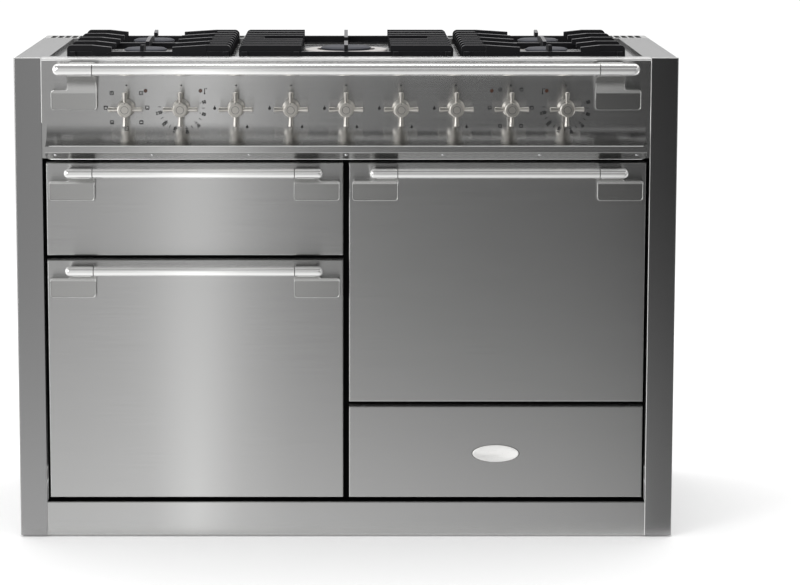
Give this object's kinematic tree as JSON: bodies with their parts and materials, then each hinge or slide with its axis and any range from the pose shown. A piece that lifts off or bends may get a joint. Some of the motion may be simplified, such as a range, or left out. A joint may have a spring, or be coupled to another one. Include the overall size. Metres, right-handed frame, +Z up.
{
  "type": "range cooker",
  "caption": "Free-standing stainless range cooker with gas hob, cross-head knobs, drop-down oven and broiler doors with bar handles, a storage drawer and a hand rail.",
  "frame": {"origin": "on the floor, midway between the sides and between the hand rail's front and the back", "axes": "+X to the right seen from the front, +Y to the back, +Z up"},
  "size_m": [1.215, 0.668, 0.914],
  "materials": {
    "stainless": "horizontally brushed stainless steel",
    "polished_steel": "fine satin stainless steel",
    "satin_nickel": "satin nickel",
    "black_enamel": "gloss black vitreous enamel",
    "zinc_plate": "galvanised sheet, dull",
    "cast_iron": "matt black enamelled cast iron",
    "cap_enamel": "satin black enamel",
    "cast_aluminium": "cast, dull",
    "tap_brass": "machined brass",
    "switch_plastic": "moulded black plastic",
    "lamp_lens": "dark red lens, unlit",
    "seal_rubber": "woven heat-proof gasket",
    "foot_rubber": "moulded foot on a plated stem",
    "chrome_wire": "bright plated wire",
    "element_steel": "heat-darkened sheath"
  },
  "bodies": {
    "cabinet": {"side_panel_left": "stainless", "side_panel_right": "stainless", "plinth": "stainless", "control_fascia": "stainless", "hob_tray": "stainless", "vent_trim": "stainless", "hand_rail_bar": "polished_steel", "hand_rail_brackets": "polished_steel", "front_frame": "black_enamel", "broiler_cavity": "black_enamel", "left_oven_cavity": "black_enamel", "right_oven_cavity": "black_enamel", "fan_baffles": "black_enamel", "base_pan": "zinc_plate", "back_panel": "zinc_plate", "drawer_rails": "zinc_plate", "hinge_brackets": "zinc_plate", "fan_motors": "zinc_plate", "gas_manifold": "zinc_plate", "pan_support_left": "cast_iron", "pan_support_centre": "cast_iron", "pan_support_right": "cast_iron", "burner_caps": "cap_enamel", "burner_bases": "cast_aluminium", "burner_pipes": "cast_aluminium", "gas_taps": "tap_brass", "oven_switches": "switch_plastic", "indicator_lamps": "lamp_lens", "door_seals": "seal_rubber", "levelling_feet": "foot_rubber", "rack_ladders": "chrome_wire", "heating_elements": "element_steel"},
    "broiler_door": {"broiler_door_skin": "stainless", "broiler_door_liner": "black_enamel", "broiler_door_handle": "polished_steel", "broiler_door_hinge_ears": "zinc_plate"},
    "left_oven_door": {"left_oven_door_skin": "stainless", "left_oven_door_liner": "black_enamel", "left_oven_door_handle": "polished_steel", "left_oven_door_hinge_ears": "zinc_plate"},
    "right_oven_door": {"right_oven_door_skin": "stainless", "right_oven_door_liner": "black_enamel", "right_oven_door_handle": "polished_steel", "right_oven_door_hinge_ears": "zinc_plate"},
    "drawer": {"drawer_front": "stainless", "drawer_box": "zinc_plate"},
    "knob_1": {"knob_1": "satin_nickel"},
    "knob_2": {"knob_2": "satin_nickel"},
    "knob_3": {"knob_3": "satin_nickel"},
    "knob_4": {"knob_4": "satin_nickel"},
    "knob_5": {"knob_5": "satin_nickel"},
    "knob_6": {"knob_6": "satin_nickel"},
    "knob_7": {"knob_7": "satin_nickel"},
    "knob_8": {"knob_8": "satin_nickel"},
    "knob_9": {"knob_9": "satin_nickel"},
    "left_oven_fan": {"left_oven_fan": "zinc_plate"},
    "right_oven_fan": {"right_oven_fan": "zinc_plate"},
    "left_oven_rack": {"left_oven_rack": "chrome_wire"},
    "right_oven_rack": {"right_oven_rack": "chrome_wire"},
    "broiler_pan": {"broiler_pan": "black_enamel"}
  },
  "joints": [
    {"name": "broiler_door_hinge", "type": "hinge", "parent": "cabinet", "child": "broiler_door", "pos_m": [-0.278, -0.267, 0.54], "axis": [1, 0, 0], "range_deg": [0, 90], "stiffness_Nm_per_rad": 1.2, "springref_deg": -17.19},
    {"name": "left_oven_door_hinge", "type": "hinge", "parent": "cabinet", "child": "left_oven_door", "pos_m": [-0.278, -0.267, 0.0845], "axis": [1, 0, 0], "range_deg": [0, 90], "stiffness_Nm_per_rad": 3, "springref_deg": -17.19},
    {"name": "right_oven_door_hinge", "type": "hinge", "parent": "cabinet", "child": "right_oven_door", "pos_m": [0.278, -0.267, 0.2655], "axis": [1, 0, 0], "range_deg": [0, 90], "stiffness_Nm_per_rad": 3, "springref_deg": -17.19},
    {"name": "drawer_slide", "type": "slide", "parent": "cabinet", "child": "drawer", "axis": [0, -1, 0], "range_m": [0, 0.34]},
    {"name": "knob_1_turn", "type": "hinge", "parent": "cabinet", "child": "knob_1", "pos_m": [-0.4016, -0.276, 0.804], "axis": [0, 1, 0], "continuous": true},
    {"name": "knob_2_turn", "type": "hinge", "parent": "cabinet", "child": "knob_2", "pos_m": [-0.3012, -0.276, 0.804], "axis": [0, 1, 0], "range_deg": [0, 270]},
    {"name": "knob_3_turn", "type": "hinge", "parent": "cabinet", "child": "knob_3", "pos_m": [-0.2008, -0.276, 0.804], "axis": [0, -1, 0], "range_deg": [0, 210]},
    {"name": "knob_4_turn", "type": "hinge", "parent": "cabinet", "child": "knob_4", "pos_m": [-0.1004, -0.276, 0.804], "axis": [0, -1, 0], "range_deg": [0, 210]},
    {"name": "knob_5_turn", "type": "hinge", "parent": "cabinet", "child": "knob_5", "pos_m": [0, -0.276, 0.804], "axis": [0, -1, 0], "range_deg": [0, 210]},
    {"name": "knob_6_turn", "type": "hinge", "parent": "cabinet", "child": "knob_6", "pos_m": [0.1004, -0.276, 0.804], "axis": [0, -1, 0], "range_deg": [0, 210]},
    {"name": "knob_7_turn", "type": "hinge", "parent": "cabinet", "child": "knob_7", "pos_m": [0.2008, -0.276, 0.804], "axis": [0, -1, 0], "range_deg": [0, 210]},
    {"name": "knob_8_turn", "type": "hinge", "parent": "cabinet", "child": "knob_8", "pos_m": [0.3012, -0.276, 0.804], "axis": [0, 1, 0], "range_deg": [0, 300]},
    {"name": "knob_9_turn", "type": "hinge", "parent": "cabinet", "child": "knob_9", "pos_m": [0.4016, -0.276, 0.804], "axis": [0, 1, 0], "range_deg": [0, 270]},
    {"name": "left_oven_fan_spin", "type": "hinge", "parent": "cabinet", "child": "left_oven_fan", "pos_m": [-0.278, 0.209, 0.29825], "axis": [0, 1, 0], "continuous": true},
    {"name": "right_oven_fan_spin", "type": "hinge", "parent": "cabinet", "child": "right_oven_fan", "pos_m": [0.278, 0.209, 0.47875], "axis": [0, 1, 0], "continuous": true},
    {"name": "left_oven_rack_slide", "type": "slide", "parent": "cabinet", "child": "left_oven_rack", "axis": [0, -1, 0], "range_m": [0, 0.022]},
    {"name": "right_oven_rack_slide", "type": "slide", "parent": "cabinet", "child": "right_oven_rack", "axis": [0, -1, 0], "range_m": [0, 0.022]},
    {"name": "broiler_pan_slide", "type": "slide", "parent": "cabinet", "child": "broiler_pan", "axis": [0, -1, 0], "range_m": [0, 0.022]}
  ]
}
